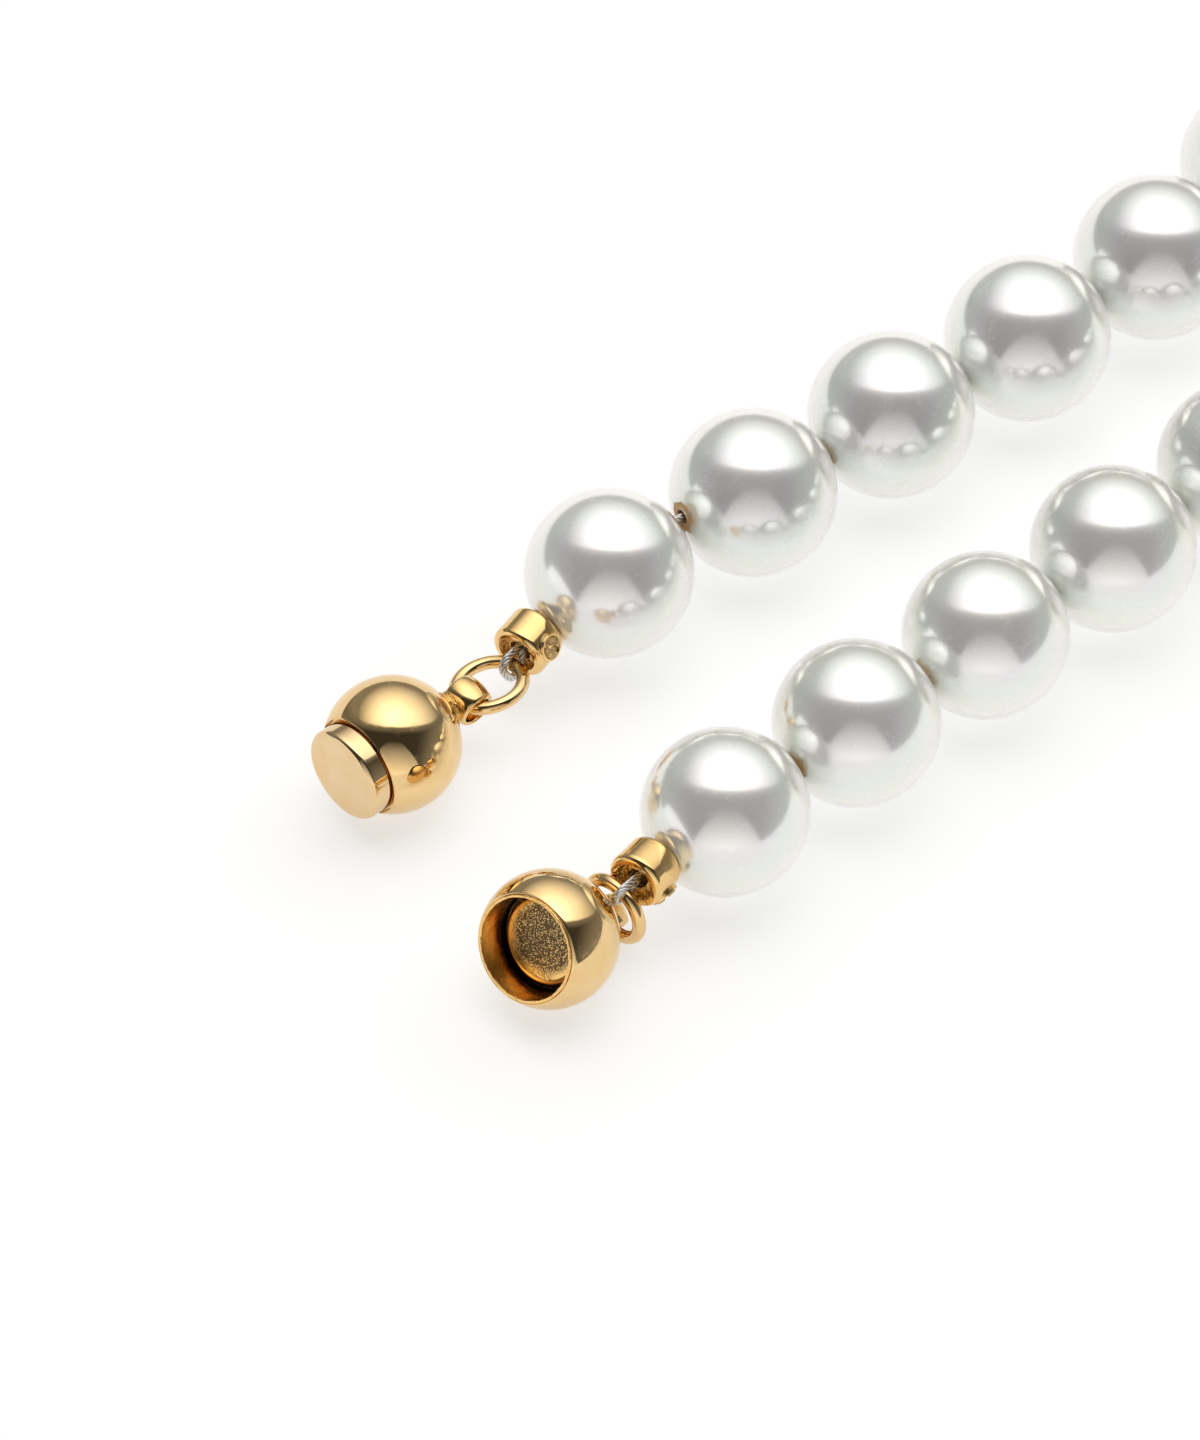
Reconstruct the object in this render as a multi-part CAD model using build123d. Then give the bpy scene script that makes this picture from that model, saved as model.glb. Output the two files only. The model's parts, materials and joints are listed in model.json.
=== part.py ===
from build123d import *
import os
from math import acos, cos, radians, sin, sqrt, tan

# Pearl necklace with a two-ball magnetic clasp, laid open on a table.
# Millimetres. +X runs along the necklace from the clasp to the far pearl, +Z is up and the table is Z = 0.
# The pieces are first placed about the clasp, then moved together so that the origin is the middle
# of the bounding box, on the table.
# Side A ends in the ball with the plug, side B in the ball with the socket.

# --- driving dimensions -------------------------------------------------------------------
PEARLS = 41
PEARL_DIAMETER_A = 10.05
PEARL_DIAMETER_B = 9.88
PEARL_GAP = 0.08
LOOSE_GAP = 0.28
STRAIGHT_PEARLS = 4
DRILL_DIAMETER = 0.9
CABLE_DIAMETER = 0.5
CABLE_BEND = 4.0
CABLE_END_BEND = 1.2
LOOP_SIDE = 0.74
STRAIGHT_ENOUGH = radians(0.15)

LOOP_RADIUS = 46.7
FLARE_RADIUS = 45.0
LOOP_CENTRE = (120.0, -0.6)

BALL_DIAMETER = 8.1
BALL_WALL = 0.4
PLUG_MOUTH_DIAMETER = 6.2
PLUG_BORE_DIAMETER = 6.1
PLUG_DIAMETER = 5.76
PLUG_REACH = 1.3
PLUG_WALL = 0.35
PLUG_EDGE = 0.35
PLUG_GROOVE = 0.1
SOCKET_MOUTH_DIAMETER = 6.6
SOCKET_CUP_DIAMETER = 6.4
SOCKET_BORE_DIAMETER = 6.04
CUP_FLOOR = 0.25
CUP_LIP = 0.08
MAGNET_DIAMETER = 5.3
MAGNET_SEAT_DIAMETER = 5.7
SOCKET_FLOOR = -0.3
MAGNET_FACE = 0.65

EYE_DIAMETER = 2.6
EYE_WIDTH = 2.0
EYE_HOLE_DIAMETER = 1.74
EYE_NECK_DIAMETER = 1.9

RING_WIRE_DIAMETER = 0.8

CRIMP_DIAMETER = 3.5
CRIMP_LENGTH = 2.3
CRIMP_BORE_DIAMETER = 1.24
CRIMP_MOUTH_DIAMETER = 2.5
CRIMP_MOUTH_DEPTH = 0.75
CRIMP_EDGE = 0.3
BOSS_DIAMETER = 1.7
BOSS_HEIGHT = 0.1
SCREW_DIAMETER = 1.36
SCREW_STANDOFF = 0.2
SLOT_WIDTH = 0.25
SLOT_DEPTH = 0.22
SCREW_CLEARANCE = 0.02


def direction(azimuth, elevation=0.0):
    """Unit vector at an azimuth from +X towards +Y and an elevation above the table, in degrees."""
    a = radians(azimuth)
    e = radians(elevation)
    return Vector(cos(a) * cos(e), sin(a) * cos(e), sin(e))


# --- where the pieces of each end lie -----------------------------------------------------
# start: middle of the first pearl.  heading: of the strand away from the clasp.
# crimp_at: from the first pearl to the crimp.  crimp, ball: the way each points, out of the strand.
ENDS = {
    "a": dict(
        start=(7.08, 8.22), heading=-2.2, pearl_diameter=PEARL_DIAMETER_A,
        crimp_at=direction(181.44, -11.15), crimp_gap=0.327,
        crimp=direction(197.6), screw=direction(-72.4, 22.0),
        ring_centre=Vector(-2.818, 6.836, 3.606), ring_normal=direction(98.8, 73.1), ring_radius=2.03,
        loop_lean=0.72, loop_reach=0.717, loop_tip=0.678,
        ball_centre=(-10.07, 6.54), ball=direction(184.4, 4.9),
        eye_distance=5.6, eye_shift=0.2, eye_axis=direction(-85.6, -6.0),
    ),
    "b": dict(
        start=(1.56, -9.61), heading=2.3, pearl_diameter=PEARL_DIAMETER_B,
        crimp_at=direction(182.81, -0.83), crimp_gap=0.30,
        crimp=direction(198.0, 10.0), screw=direction(-78.0, -31.0),
        ring_centre=Vector(-6.801, -10.066, 3.085), ring_normal=direction(187.7, 4.3), ring_radius=1.94,
        loop_lean=0.39, loop_reach=0.677, loop_tip=0.728,
        ball_centre=(-11.50, -10.05), ball=direction(191.0, 29.0),
        eye_distance=5.38, eye_shift=0.0, eye_axis=direction(-96.7, -26.7),
    ),
}


def square_to(vector, axis):
    """The part of a vector that is at right angles to an axis, at unit length."""
    return (vector - axis * vector.dot(axis)).normalized()


def rounded_path(points, radii):
    """Straight runs between points, with a tangent arc at every corner."""
    edges = []
    start = points[0]
    for index in range(1, len(points) - 1):
        corner = points[index]
        into = (corner - start).normalized()
        onward = (points[index + 1] - corner).normalized()
        turn = acos(min(1.0, into.dot(onward)))
        if turn < STRAIGHT_ENOUGH:
            continue
        setback = radii[index - 1] * tan(turn / 2)
        sagitta = radii[index - 1] * (1 / cos(turn / 2) - 1)
        middle = corner + (onward - into).normalized() * sagitta
        edges.append(Line(start, corner - into * setback).edge())
        start = corner + onward * setback
        edges.append(ThreePointArc(corner - into * setback, middle, start).edge())
    edges.append(Line(start, points[-1]).edge())
    return Wire(edges)


def tube(points, radii, diameter):
    """A round wire along straight runs joined by tangent arcs."""
    path = rounded_path(points, radii)
    profile = Plane(path @ 0, z_dir=path % 0) * Circle(diameter / 2)
    return Solid.sweep(profile.face(), path=path)


# --- the strand's route -------------------------------------------------------------------
def flare(end, side):
    """Where one straight side leaves its line, and where its outward curve meets the round loop."""
    u = direction(end["heading"])
    out = Vector(-u.Y, u.X) * side
    start = Vector(*end["start"])
    centre = Vector(*LOOP_CENTRE)
    to_loop = centre - (start + out * FLARE_RADIUS)
    along = to_loop.dot(u)
    across = to_loop.dot(out)
    reach = LOOP_RADIUS + FLARE_RADIUS
    along -= sqrt(reach**2 - across**2)
    turn_centre = start + u * along + out * FLARE_RADIUS
    leave = turn_centre - out * FLARE_RADIUS
    meet = centre + (turn_centre - centre) * (LOOP_RADIUS / reach)
    return leave, meet


def strand_route():
    """The cable's line on the table, from the crimp at side A round to the crimp at side B."""
    first = Vector(*ENDS["a"]["start"]) - direction(ENDS["a"]["heading"]) * (PEARL_DIAMETER_A + PEARL_GAP) / 2
    last = Vector(*ENDS["b"]["start"]) - direction(ENDS["b"]["heading"]) * (PEARL_DIAMETER_B + PEARL_GAP) / 2
    leave_a, meet_a = flare(ENDS["a"], 1)
    leave_b, meet_b = flare(ENDS["b"], -1)
    far = Vector(LOOP_CENTRE[0] + LOOP_RADIUS, LOOP_CENTRE[1])
    line_a = Line(first, leave_a)
    flare_a = TangentArc(leave_a, meet_a, tangent=direction(ENDS["a"]["heading"]))
    loop = ThreePointArc(meet_a, far, meet_b)
    flare_b = TangentArc(meet_b, leave_b, tangent=loop % 1)
    line_b = Line(leave_b, last)
    return Wire([line_a.edge(), flare_a.edge(), loop.edge(), flare_b.edge(), line_b.edge()])


def pearl_diameter(index):
    """Pearls shrink evenly from side A to side B."""
    share = index / (PEARLS - 1)
    return PEARL_DIAMETER_A + (PEARL_DIAMETER_B - PEARL_DIAMETER_A) * share


def on_straight_side(index):
    """Whether a pearl lies on one of the two straight sides."""
    return index < STRAIGHT_PEARLS or index >= PEARLS - STRAIGHT_PEARLS


def pearl_steps(length):
    """Cable length taken by each pearl: close on the straight sides, sharing out what is left on the bend."""
    steps = [pearl_diameter(index) + PEARL_GAP for index in range(PEARLS)]
    spare = length - LOOSE_GAP - sum(steps)
    bend_pearls = PEARLS - 2 * STRAIGHT_PEARLS
    return [step if on_straight_side(index) else step + spare / bend_pearls for index, step in enumerate(steps)]


def gap_points(route):
    """The points between pearls where the cable bends, one before each pearl and one after the last."""
    steps = pearl_steps(route.length)
    points = []
    for index in range(PEARLS + 1):
        along = sum(steps[:index])
        if index > 1:
            along += LOOSE_GAP
        elif index == 1:
            along += LOOSE_GAP / 2
        spot = route.position_at(along, position_mode=PositionMode.LENGTH)
        height = (pearl_diameter(max(index - 1, 0)) + pearl_diameter(min(index, PEARLS - 1))) / 4
        points.append(Vector(spot.X, spot.Y, height))
    return points


def pearl_middles(gaps, steps):
    """Middle of each pearl, half its own step from the gap beside it."""
    middles = []
    for index in range(PEARLS):
        before = gaps[index]
        after = gaps[index + 1]
        drill = Vector(after.X - before.X, after.Y - before.Y).normalized()
        middle = after - drill * (steps[index] / 2) if index else before + drill * (steps[index] / 2)
        middles.append(Vector(middle.X, middle.Y, pearl_diameter(index) / 2))
    return middles


def tilt_end_pearl(gaps, end, middle, outer, inner):
    """Turn an end pearl's drill line so that it points at the crimp."""
    radius = end["pearl_diameter"] / 2
    gaps[outer] = middle + end["crimp_at"] * (radius + end["crimp_gap"] / 2)
    gaps[inner] = middle - end["crimp_at"] * (radius + PEARL_GAP)


# --- pieces -------------------------------------------------------------------------------
def pearl(middle, diameter, before, after):
    """One pearl, drilled along the line between the gaps on either side of it."""
    along = (after - before).normalized()
    ball = Plane(middle, x_dir=along.cross(Vector(0, 0, 1)), z_dir=(0, 0, 1)) * Sphere(diameter / 2)
    hole = Plane((before + after) / 2, z_dir=along) * Cylinder(DRILL_DIAMETER / 2, diameter * 1.2)
    return ball - hole


def crimp(frame):
    """Screw crimp: a round-edged barrel with a cable bore, an open mouth and a side hole in a raised boss."""
    barrel = Pos(0, 0, CRIMP_LENGTH / 2) * Cylinder(CRIMP_DIAMETER / 2, CRIMP_LENGTH)
    barrel = fillet(barrel.edges().filter_by(GeomType.CIRCLE), CRIMP_EDGE)
    side = Plane((0, 0, CRIMP_LENGTH / 2), z_dir=(1, 0, 0))
    boss_top = CRIMP_DIAMETER / 2 + BOSS_HEIGHT
    boss = side * Cylinder(BOSS_DIAMETER / 2, boss_top, align=(Align.CENTER, Align.CENTER, Align.MIN))
    bore = Cylinder(CRIMP_BORE_DIAMETER / 2, CRIMP_LENGTH * 3)
    mouth = Pos(0, 0, CRIMP_LENGTH) * Cylinder(CRIMP_MOUTH_DIAMETER / 2, CRIMP_MOUTH_DEPTH * 2)
    screw_hole = side * Cylinder(
        SCREW_DIAMETER / 2 + SCREW_CLEARANCE, boss_top * 2, align=(Align.CENTER, Align.CENTER, Align.MIN)
    )
    return frame * (barrel + boss - bore - mouth - screw_hole)


def set_screw(frame):
    """Slotted set screw that pinches the cable, standing a little out of its boss."""
    inner = CABLE_DIAMETER * 1.15
    outer = CRIMP_DIAMETER / 2 + SCREW_STANDOFF
    body = Pos(0, 0, (inner + outer) / 2) * Cylinder(SCREW_DIAMETER / 2, outer - inner)
    slot = Pos(0, 0, outer) * Box(SCREW_DIAMETER * 2, SLOT_WIDTH, SLOT_DEPTH * 2)
    side = Plane((0, 0, CRIMP_LENGTH / 2), z_dir=(1, 0, 0))
    return frame * (side * (body - slot))


def ring_point(end, spot):
    """The point on the jump ring's centre line nearest to a spot."""
    offset = square_to(spot - end["ring_centre"], end["ring_normal"])
    return end["ring_centre"] + offset * end["ring_radius"]


def end_loop(end, mouth):
    """The cable's end: out of the crimp, round the jump ring and back in."""
    axis = end["crimp"]
    hold = ring_point(end, mouth)
    along_ring = end["ring_normal"].cross(hold - end["ring_centre"]).normalized()
    out = square_to((hold - mouth).normalized() + axis * end["loop_lean"], along_ring)
    front = along_ring.cross(out)
    leg = square_to(front, axis) * (CABLE_DIAMETER * 0.57)
    deep = mouth - axis * (CRIMP_LENGTH - 0.85)
    throat = mouth - axis * 0.62
    points = [
        deep + leg,
        throat + leg,
        hold + front * LOOP_SIDE,
        hold + out * end["loop_reach"] + front * end["loop_tip"],
        hold + out * end["loop_reach"] - front * end["loop_tip"],
        hold - front * LOOP_SIDE,
        throat - leg,
        deep - leg,
    ]
    return tube(points, (0.3, 0.35, 0.5, 0.5, 0.35, 0.3), CABLE_DIAMETER)


def jump_ring(end):
    """Closed round-wire ring that joins the cable's loop and the eye."""
    torus = Torus(end["ring_radius"], RING_WIRE_DIAMETER / 2)
    return Plane(end["ring_centre"], z_dir=end["ring_normal"]) * torus


def ball_frame(end):
    """The ball's own frame: origin in its middle, Z out of its mouth."""
    middle = Vector(*end["ball_centre"], BALL_DIAMETER / 2)
    return Plane(middle, x_dir=square_to(Vector(0, 0, 1), end["ball"]), z_dir=end["ball"])


def mouth_height(mouth_diameter):
    """How far in front of the ball's middle its flat mouth lies."""
    return sqrt(BALL_DIAMETER**2 - mouth_diameter**2) / 2


def disc(diameter, low, high):
    """A round plug between two heights."""
    return Pos(0, 0, (low + high) / 2) * Cylinder(diameter / 2, high - low)


def hollow_ball(mouth_diameter, bore_diameter, seat):
    """Spherical shell with a flat mouth, a round bore down to the seat, and a hollow behind the seat."""
    top = mouth_height(mouth_diameter)
    shell = Sphere(BALL_DIAMETER / 2) - disc(BALL_DIAMETER * 1.1, top, BALL_DIAMETER)
    hollow = Sphere(BALL_DIAMETER / 2 - BALL_WALL) - disc(BALL_DIAMETER, seat - BALL_WALL, BALL_DIAMETER)
    return shell - hollow - disc(bore_diameter, seat, BALL_DIAMETER)


def plug():
    """Cap over the plug magnet: a wide foot that fills the bore and a narrower nose that stands out."""
    mouth = mouth_height(PLUG_MOUTH_DIAMETER)
    tip = mouth + PLUG_REACH
    foot = disc(PLUG_BORE_DIAMETER, SOCKET_FLOOR, mouth - PLUG_GROOVE)
    nose = disc(PLUG_DIAMETER, SOCKET_FLOOR, tip)
    nose = fillet(nose.edges().filter_by(GeomType.CIRCLE).sort_by(Axis.Z)[-1], PLUG_EDGE)
    return foot + nose - disc(PLUG_DIAMETER - 2 * PLUG_WALL, SOCKET_FLOOR, tip - PLUG_WALL)


def plug_magnet():
    """Disc magnet that fills the cap."""
    tip = mouth_height(PLUG_MOUTH_DIAMETER) + PLUG_REACH
    return disc(PLUG_DIAMETER - 2 * PLUG_WALL, SOCKET_FLOOR, tip - PLUG_WALL)


def socket_cup():
    """Thin cup that lines the socket, with a lip just proud of the mouth and a narrow magnet seat."""
    top = mouth_height(SOCKET_MOUTH_DIAMETER) + CUP_LIP
    bore = disc(SOCKET_BORE_DIAMETER, MAGNET_FACE, top + 1)
    seat = disc(MAGNET_SEAT_DIAMETER, SOCKET_FLOOR + CUP_FLOOR, top)
    return disc(SOCKET_CUP_DIAMETER, SOCKET_FLOOR, top) - bore - seat


def socket_magnet():
    """Disc magnet on the floor of the cup."""
    return disc(MAGNET_DIAMETER, SOCKET_FLOOR + CUP_FLOOR, MAGNET_FACE)


def eye_places(end):
    """Middle and hole axis of the eye behind the ball."""
    axis = square_to(end["eye_axis"], end["ball"])
    middle = Vector(*end["ball_centre"], BALL_DIAMETER / 2)
    return middle - end["ball"] * end["eye_distance"] + axis * end["eye_shift"], axis


def eye(end):
    """Short barrel bead with a flared hole, on a neck that is soldered to the ball."""
    middle, axis = eye_places(end)
    half = EYE_WIDTH / 2
    lip = EYE_HOLE_DIAMETER / 2 + 0.18
    outline = Polyline((0, -half), (lip, -half))
    crown = ThreePointArc((lip, -half), (EYE_DIAMETER / 2, 0), (lip, half))
    back = Polyline((lip, half), (0, half), (0, -half))
    section = Plane.XZ * make_face(outline.edges() + crown.edges() + back.edges())
    bead = Plane(middle, z_dir=axis) * revolve(section, axis=Axis.Z)
    ball_middle = Vector(*end["ball_centre"], BALL_DIAMETER / 2)
    neck_length = end["eye_distance"] - BALL_DIAMETER / 2 + 0.5
    neck_middle = ball_middle - end["ball"] * (BALL_DIAMETER / 2 - 0.5 + neck_length / 2)
    neck = Plane(neck_middle, z_dir=end["ball"]) * Cylinder(EYE_NECK_DIAMETER / 2, neck_length)
    hole = Plane(middle, z_dir=axis) * Cylinder(EYE_HOLE_DIAMETER / 2, EYE_WIDTH * 2)
    ball = Pos(ball_middle) * Sphere(BALL_DIAMETER / 2)
    return bead + neck - hole - ball


def strand_cable(gaps, ends):
    """The cable through every pearl, from inside one crimp to inside the other."""
    radii = [CABLE_END_BEND] + [CABLE_BEND] * (len(gaps) - 2) + [CABLE_END_BEND]
    return tube([ends["a"]] + gaps + [ends["b"]], radii, CABLE_DIAMETER)


# --- assembly -----------------------------------------------------------------------------
route = strand_route()
gaps = gap_points(route)
middles = pearl_middles(gaps, pearl_steps(route.length))
tilt_end_pearl(gaps, ENDS["a"], middles[0], 0, 1)
tilt_end_pearl(gaps, ENDS["b"], middles[-1], -1, -2)
nodes = {}

for index, middle in enumerate(middles):
    nodes[f"pearl_{index + 1:02d}"] = pearl(middle, pearl_diameter(index), gaps[index], gaps[index + 1])

crimp_backs = {}
cable_ends = {}
for side, end in ENDS.items():
    middle = middles[0] if side == "a" else middles[-1]
    back = middle + end["crimp_at"] * (end["pearl_diameter"] / 2 + end["crimp_gap"])
    crimp_backs[side] = back
    crimp_frame = Plane(back, x_dir=square_to(end["screw"], end["crimp"]), z_dir=end["crimp"])
    cable_ends[side] = back + end["crimp"] * 0.6
    nodes[f"crimp_{side}"] = crimp(crimp_frame)
    nodes[f"set_screw_{side}"] = set_screw(crimp_frame)
    nodes[f"cable_loop_{side}"] = end_loop(end, back + end["crimp"] * CRIMP_LENGTH)
    nodes[f"jump_ring_{side}"] = jump_ring(end)
    nodes[f"clasp_eye_{side}"] = eye(end)

nodes["ball_shell_a"] = ball_frame(ENDS["a"]) * hollow_ball(
    PLUG_MOUTH_DIAMETER, PLUG_BORE_DIAMETER, SOCKET_FLOOR
)
nodes["plug_cap"] = ball_frame(ENDS["a"]) * plug()
nodes["plug_magnet"] = ball_frame(ENDS["a"]) * plug_magnet()
nodes["ball_shell_b"] = ball_frame(ENDS["b"]) * hollow_ball(
    SOCKET_MOUTH_DIAMETER, SOCKET_CUP_DIAMETER, SOCKET_FLOOR
)
nodes["socket_cup"] = ball_frame(ENDS["b"]) * socket_cup()
nodes["socket_magnet"] = ball_frame(ENDS["b"]) * socket_magnet()
nodes["strand_cable"] = strand_cable(gaps, cable_ends)

# --- the origin is the middle of the bounding box, on the table ----------------------------
boxes = [solid.bounding_box() for solid in nodes.values()]
middle_x = (min(box.min.X for box in boxes) + max(box.max.X for box in boxes)) / 2
middle_y = (min(box.min.Y for box in boxes) + max(box.max.Y for box in boxes)) / 2
SHIFT = Vector(-middle_x, -middle_y, -min(box.min.Z for box in boxes))

os.makedirs("parts", exist_ok=True)
for name, solid in nodes.items():
    export_step(Pos(SHIFT) * solid, f"parts/{name}.step")
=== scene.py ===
import json
from math import acos, cos, pi, radians, sin, sqrt, tan

import bmesh
import bpy
from mathutils import Matrix, Vector, noise


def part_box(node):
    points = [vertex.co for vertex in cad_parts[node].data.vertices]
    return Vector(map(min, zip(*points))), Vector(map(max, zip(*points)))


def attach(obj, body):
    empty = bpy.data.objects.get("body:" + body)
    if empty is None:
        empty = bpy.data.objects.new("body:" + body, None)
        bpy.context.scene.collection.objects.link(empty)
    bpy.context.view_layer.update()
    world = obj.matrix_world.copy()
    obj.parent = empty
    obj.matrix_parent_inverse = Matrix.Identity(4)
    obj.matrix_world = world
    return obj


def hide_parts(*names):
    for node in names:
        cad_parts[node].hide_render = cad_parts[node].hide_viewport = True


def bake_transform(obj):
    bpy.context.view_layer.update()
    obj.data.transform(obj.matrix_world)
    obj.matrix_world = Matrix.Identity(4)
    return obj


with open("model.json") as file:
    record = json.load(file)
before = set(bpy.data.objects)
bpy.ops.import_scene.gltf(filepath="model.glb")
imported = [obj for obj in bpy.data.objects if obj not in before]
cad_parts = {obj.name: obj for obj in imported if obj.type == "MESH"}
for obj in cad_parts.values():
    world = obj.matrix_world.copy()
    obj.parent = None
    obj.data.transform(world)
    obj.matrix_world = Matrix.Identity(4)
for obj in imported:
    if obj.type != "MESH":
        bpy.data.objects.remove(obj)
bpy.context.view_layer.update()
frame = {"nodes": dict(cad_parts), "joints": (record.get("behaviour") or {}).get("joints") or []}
JOINTS = {joint["name"]: joint for joint in frame["joints"]}
MM = 0.001

# --- dimensions of the pieces, in millimetres, as in the CAD model ------------------------
PEARLS = 41
PEARL_DIAMETER_A = 10.05
PEARL_DIAMETER_B = 9.88
DRILL_RADIUS = 0.45
CABLE_RADIUS = 0.25
BALL_RADIUS = 4.05
PLUG_MOUTH_RADIUS = 3.1
PLUG_BORE_RADIUS = 3.05
PLUG_RADIUS = 2.88
PLUG_REACH = 1.3
PLUG_GROOVE = 0.3
SOCKET_MOUTH_RADIUS = 3.3
CUP_RADIUS = 3.2
CUP_BORE_RADIUS = 3.02
CUP_LIP = 0.08
SOCKET_FLOOR = -0.3
CUP_FLOOR = 0.25
MAGNET_RADIUS = 2.65
MAGNET_FACE = 0.65
EYE_RADIUS = 1.3
EYE_HALF_WIDTH = 1.0
EYE_HOLE_RADIUS = 0.87
NECK_RADIUS = 0.95
RING_WIRE_RADIUS = 0.4
CRIMP_RADIUS = 1.75
CRIMP_LENGTH = 2.3
CRIMP_BORE_RADIUS = 0.62
CRIMP_MOUTH_RADIUS = 1.25
CRIMP_MOUTH_DEPTH = 0.75
SCREW_RADIUS = 0.68
BOSS_RADIUS = 0.85
BOSS_HEIGHT = 0.1
SCREW_STANDOFF = 0.2
SLOT_WIDTH = 0.30
SLOT_DEPTH = 0.2
SLOT_ANGLE = 35.0
LOOP_SIDE = 0.74
CABLE_BEND = 4.0
CABLE_END_BEND = 1.2
CABLE_IN_CRIMP = 0.6
CABLE_LAY = 3.1
LOOP_LAY = 2.4

# --- how finely the meshes are cut, and how uneven they are --------------------------------
PEARL_ROWS = 72
PEARL_SEGMENTS = 112
PEARL_UNEVEN = 0.0008
HOLE_EDGE = 0.05
RIM_ROWS = 4
HOLE_ROWS = 14


def direction(azimuth, elevation=0.0):
    a = radians(azimuth)
    e = radians(elevation)
    return Vector((cos(a) * cos(e), sin(a) * cos(e), sin(e)))


def square_to(vector, axis):
    return (vector - axis * vector.dot(axis)).normalized()


def node_centre(node):
    """Middle of a CAD node's box, in millimetres."""
    low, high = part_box(node)
    return (Vector(low) + Vector(high)) / (2 * MM)


def joint_place(name):
    """A joint's point, in millimetres."""
    return Vector(JOINTS[name]["pos_m"]) / MM


FIRST_PEARL = Vector((7.08, 8.22, PEARL_DIAMETER_A / 2))
SHIFT = node_centre("pearl_01") - FIRST_PEARL

ENDS = {
    "a": dict(
        pearl="pearl_01", pearl_radius=PEARL_DIAMETER_A / 2, clasp="clasp_plug_half",
        crimp_at=direction(181.44, -11.15), crimp_gap=0.327,
        crimp=direction(197.6), screw=direction(-72.4, 22.0),
        ring_centre=Vector((-2.818, 6.836, 3.606)), ring_normal=direction(98.8, 73.1), ring_radius=2.03,
        loop_lean=0.72, loop_reach=0.717, loop_tip=0.678,
        ball_centre=Vector((-10.07, 6.54, BALL_RADIUS)), ball=direction(184.4, 4.9),
        eye_distance=5.6, eye_shift=0.2, eye_axis=direction(-85.6, -6.0),
    ),
    "b": dict(
        pearl=f"pearl_{PEARLS:02d}", pearl_radius=PEARL_DIAMETER_B / 2, clasp="clasp_socket_half",
        crimp_at=direction(182.81, -0.83), crimp_gap=0.30,
        crimp=direction(198.0, 10.0), screw=direction(-78.0, -31.0),
        ring_centre=Vector((-6.801, -10.066, 3.085)), ring_normal=direction(187.7, 4.3), ring_radius=1.94,
        loop_lean=0.39, loop_reach=0.677, loop_tip=0.728,
        ball_centre=Vector((-11.50, -10.05, BALL_RADIUS)), ball=direction(191.0, 29.0),
        eye_distance=5.38, eye_shift=0.0, eye_axis=direction(-96.7, -26.7),
    ),
}
for end in ENDS.values():
    end["ring_centre"] = end["ring_centre"] + SHIFT
    end["ball_centre"] = end["ball_centre"] + SHIFT
    middle = node_centre(end["pearl"])
    end["crimp_back"] = middle + end["crimp_at"] * (end["pearl_radius"] + end["crimp_gap"])
    end["mouth"] = end["crimp_back"] + end["crimp"] * CRIMP_LENGTH
    end["eye_hole"] = square_to(end["eye_axis"], end["ball"])
    end["eye"] = end["ball_centre"] - end["ball"] * end["eye_distance"] + end["eye_hole"] * end["eye_shift"]


# --- mesh building ------------------------------------------------------------------------
def frame_matrix(origin, z_axis, x_hint=None):
    """Matrix whose Z is an axis, with X near a hint."""
    z = z_axis.normalized()
    hint = x_hint if x_hint is not None else (Vector((0, 0, 1)) if abs(z.z) < 0.9 else Vector((1, 0, 0)))
    x = square_to(hint, z)
    y = z.cross(x)
    matrix = Matrix((x, y, z)).transposed().to_4x4()
    matrix.translation = origin
    return matrix


def rounded_profile(points, radii, steps=7):
    """Closed or open (r, z) outline with its corners rounded; a radius of 0 keeps a corner."""
    result = []
    count = len(points)
    for index, (point, radius) in enumerate(zip(points, radii)):
        here = Vector(point)
        before = Vector(points[index - 1])
        after = Vector(points[(index + 1) % count])
        if radius <= 0:
            result.append(here)
            continue
        into = (here - before).normalized()
        onward = (after - here).normalized()
        turn = acos(max(-1.0, min(1.0, into.dot(onward))))
        if turn < 1e-3:
            result.append(here)
            continue
        setback = radius * tan(turn / 2)
        start = here - into * setback
        centre = here + (onward - into).normalized() * (radius / cos(turn / 2))
        arm = start - centre
        sign = 1 if into.x * onward.y - into.y * onward.x > 0 else -1
        for step in range(steps + 1):
            angle = sign * turn * step / steps
            x = arm.x * cos(angle) - arm.y * sin(angle)
            y = arm.x * sin(angle) + arm.y * cos(angle)
            result.append(centre + Vector((x, y)))
    return result


def fill_in(profile, longest, closed):
    """Adds points so that no step of an outline is longer than a length."""
    result = []
    count = len(profile)
    for index in range(count if closed else count - 1):
        a = Vector(profile[index])
        b = Vector(profile[(index + 1) % count])
        pieces = max(1, int((b - a).length / longest + 0.999))
        for step in range(pieces):
            result.append(a.lerp(b, step / pieces))
    if not closed:
        result.append(Vector(profile[-1]))
    return result


def new_object(name, vertices, faces, material, uvs=None):
    mesh = bpy.data.meshes.new(name)
    mesh.from_pydata([tuple(v * MM) for v in vertices], [], faces)
    mesh.polygons.foreach_set("use_smooth", [True] * len(mesh.polygons))
    if uvs is not None:
        layer = mesh.uv_layers.new(name="around_along")
        for polygon in mesh.polygons:
            wraps = max(uvs[v][0] for v in polygon.vertices) > 0.75
            for loop, vertex in zip(polygon.loop_indices, polygon.vertices):
                u, w = uvs[vertex]
                layer.data[loop].uv = (u + 1 if wraps and u < 0.25 else u, w)
    mesh.update()
    obj = bpy.data.objects.new(name, mesh)
    bpy.context.scene.collection.objects.link(obj)
    mesh.materials.append(material)
    return obj


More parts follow.
